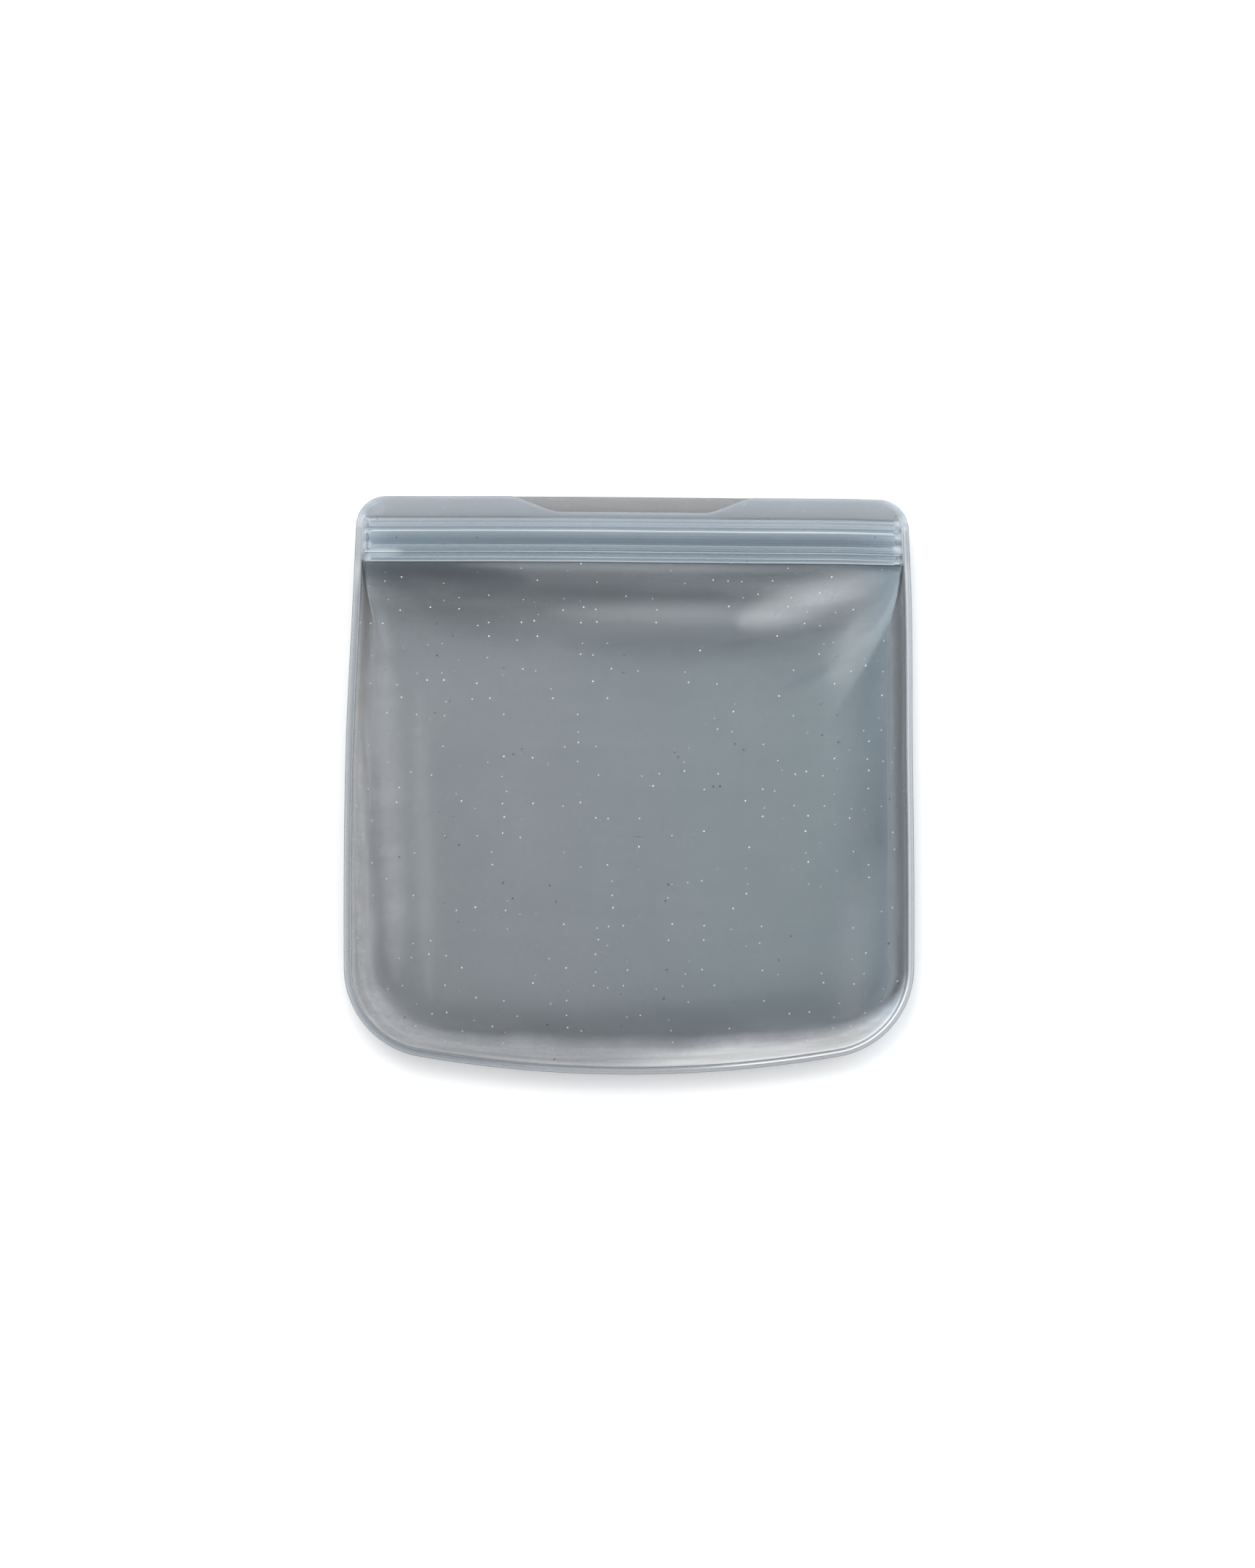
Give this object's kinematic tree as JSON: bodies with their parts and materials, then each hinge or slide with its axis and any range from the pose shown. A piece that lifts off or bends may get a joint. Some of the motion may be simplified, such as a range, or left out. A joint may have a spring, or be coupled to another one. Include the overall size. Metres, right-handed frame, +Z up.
{
  "type": "reusable silicone food bag",
  "caption": "Reusable see-through silicone food bag with rounded bottom corners, welded edge seam, double press-lock mouth and a notched front lip, shut and full of air.",
  "frame": {"origin": "middle of the bag's footprint on the surface it lies on", "axes": "+X across the bag to its right, +Y from its bottom to its mouth, +Z up from the back panel to the front panel"},
  "size_m": [0.192, 0.1946, 0.036],
  "materials": {
    "film": "thin see-through slate-blue silicone film, smooth and softly glossy",
    "seam": "welded double film, glossy pale blue-grey edge",
    "zip": "moulded ribbed silicone strip, cloudy pale blue-grey",
    "lock": "moulded silicone rib and channel, cloudy",
    "end_seal": "fused silicone, whitish and slightly uneven",
    "lip": "plain see-through silicone flap, satin"
  },
  "bodies": {
    "pouch": {"back_panel": "film", "front_panel": "film", "left_side_seam": "seam", "right_side_seam": "seam", "bottom_seam": "seam", "back_zip_strip": "zip", "upper_lock_channel": "lock", "lower_lock_channel": "lock", "left_end_seal": "end_seal", "right_end_seal": "end_seal"},
    "front_mouth": {"front_mouth_panel": "film", "front_zip_strip": "zip", "upper_lock_rib": "lock", "lower_lock_rib": "lock", "front_lip": "lip"},
    "back_lip": {"back_lip": "lip"}
  },
  "joints": [
    {"name": "mouth_opening", "type": "hinge", "parent": "pouch", "child": "front_mouth", "pos_m": [0, 0.038, 0.0302], "axis": [1, 0, 0], "range_deg": [0, 40]},
    {"name": "back_lip_fold", "type": "hinge", "parent": "pouch", "child": "back_lip", "pos_m": [0, 0.0902, 0.00945], "axis": [-1, 0, 0], "range_deg": [0, 50], "stiffness_Nm_per_rad": 0.0145}
  ]
}
